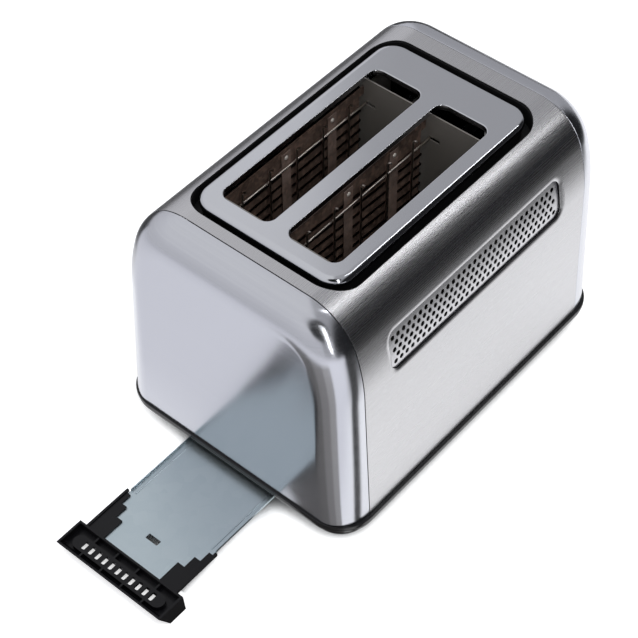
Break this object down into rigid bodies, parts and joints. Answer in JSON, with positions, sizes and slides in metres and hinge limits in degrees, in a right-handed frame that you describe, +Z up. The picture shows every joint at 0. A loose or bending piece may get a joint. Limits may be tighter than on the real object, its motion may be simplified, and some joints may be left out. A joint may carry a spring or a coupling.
{
  "type": "two-slice toaster",
  "caption": "Two-slice toaster in a rounded brushed steel body with perforated side panels, a lift lever, wire bread guides and a crumb tray that slides out at one end.",
  "frame": {"origin": "centre of the base plate's flat underside", "axes": "+X along the body towards the lever end, +Z up, +Y towards the far long side"},
  "size_m": [0.3833, 0.184, 0.1799],
  "materials": {
    "brushed_stainless": "brushed along the body, semi-bright",
    "satin_stainless": "smooth satin",
    "galvanised": "galvanised sheet, bluish grey",
    "plain_steel": "plain pressed steel",
    "dark_wire": "heat-darkened wire",
    "heating_ribbon": "heat-darkened resistance ribbon",
    "black_plastic": "black, semi-gloss",
    "black_rubber": "matt black",
    "mica": "brown-grey mica board",
    "circuit_board": "green laminate",
    "copper": "enamelled copper winding",
    "brass": "plain brass"
  },
  "bodies": {
    "body": {"wrap_shell": "brushed_stainless", "top_bezel": "brushed_stainless", "side_grille_near": "brushed_stainless", "side_grille_far": "brushed_stainless", "tray_end_cap": "satin_stainless", "control_end_cap": "satin_stainless", "base_plate": "galvanised", "chassis_plate_tray_end": "galvanised", "chassis_plate_control_end": "galvanised", "side_reflector_left": "galvanised", "side_reflector_right": "galvanised", "tray_runner_left": "galvanised", "tray_runner_right": "galvanised", "guide_rod": "plain_steel", "lift_spring": "plain_steel", "hold_magnet": "plain_steel", "browning_potentiometer": "plain_steel", "heater_ribbon_left": "heating_ribbon", "heater_ribbon_centre": "heating_ribbon", "heater_ribbon_right": "heating_ribbon", "control_fascia": "black_plastic", "bezel_well": "black_plastic", "base_frame": "black_plastic", "cord_gland": "black_plastic", "foot_tray_end_near": "black_rubber", "foot_tray_end_far": "black_rubber", "foot_control_end_near": "black_rubber", "foot_control_end_far": "black_rubber", "heater_board_left": "mica", "heater_board_centre": "mica", "heater_board_right": "mica", "control_board": "circuit_board", "magnet_coil": "copper", "mains_contacts": "brass"},
    "carriage": {"bread_rack_left": "plain_steel", "bread_rack_right": "plain_steel", "lift_slider": "plain_steel", "armature_plate": "plain_steel", "lever_arm": "plain_steel", "lever_knob": "black_plastic"},
    "guard_left_outer": {"guard_wires_left_outer": "dark_wire"},
    "guard_left_inner": {"guard_wires_left_inner": "dark_wire"},
    "guard_right_inner": {"guard_wires_right_inner": "dark_wire"},
    "guard_right_outer": {"guard_wires_right_outer": "dark_wire"},
    "browning_control": {"browning_knob": "black_plastic"},
    "cancel": {"cancel_button": "black_plastic"},
    "reheat": {"reheat_button": "black_plastic"},
    "defrost": {"defrost_button": "black_plastic"},
    "tray": {"crumb_tray": "galvanised", "tray_handle": "black_plastic"}
  },
  "joints": [
    {"name": "lever_slide", "type": "slide", "parent": "body", "child": "carriage", "axis": [0, 0, -1], "range_m": [0, 0.062], "stiffness_N_per_m": 60, "springref_m": -0.06, "deforming": ["lift_spring"]},
    {"name": "guard_left_outer_slide", "type": "slide", "parent": "body", "child": "guard_left_outer", "axis": [0, 1, 0], "range_m": [0, 0.0062]},
    {"name": "guard_left_inner_slide", "type": "slide", "parent": "body", "child": "guard_left_inner", "axis": [0, -1, 0], "range_m": [0, 0.0062]},
    {"name": "guard_right_inner_slide", "type": "slide", "parent": "body", "child": "guard_right_inner", "axis": [0, 1, 0], "range_m": [0, 0.0062]},
    {"name": "guard_right_outer_slide", "type": "slide", "parent": "body", "child": "guard_right_outer", "axis": [0, -1, 0], "range_m": [0, 0.0062]},
    {"name": "browning_turn", "type": "hinge", "parent": "body", "child": "browning_control", "pos_m": [0.136, 0, 0.036], "axis": [1, 0, 0], "range_deg": [0, 270]},
    {"name": "cancel_press", "type": "slide", "parent": "body", "child": "cancel", "axis": [-1, 0, 0], "range_m": [0, 0.002], "stiffness_N_per_m": 400, "springref_m": -0.001},
    {"name": "reheat_press", "type": "slide", "parent": "body", "child": "reheat", "axis": [-1, 0, 0], "range_m": [0, 0.002], "stiffness_N_per_m": 400, "springref_m": -0.001},
    {"name": "defrost_press", "type": "slide", "parent": "body", "child": "defrost", "axis": [-1, 0, 0], "range_m": [0, 0.002], "stiffness_N_per_m": 400, "springref_m": -0.001},
    {"name": "tray_slide", "type": "slide", "parent": "body", "child": "tray", "axis": [1, 0, 0], "range_m": [-0.06, 0.1058]}
  ],
  "couplings": [
    {"joint": "guard_left_outer_slide", "follows": "lever_slide", "ratio": 0.1},
    {"joint": "guard_left_inner_slide", "follows": "lever_slide", "ratio": 0.1},
    {"joint": "guard_right_inner_slide", "follows": "lever_slide", "ratio": 0.1},
    {"joint": "guard_right_outer_slide", "follows": "lever_slide", "ratio": 0.1}
  ]
}
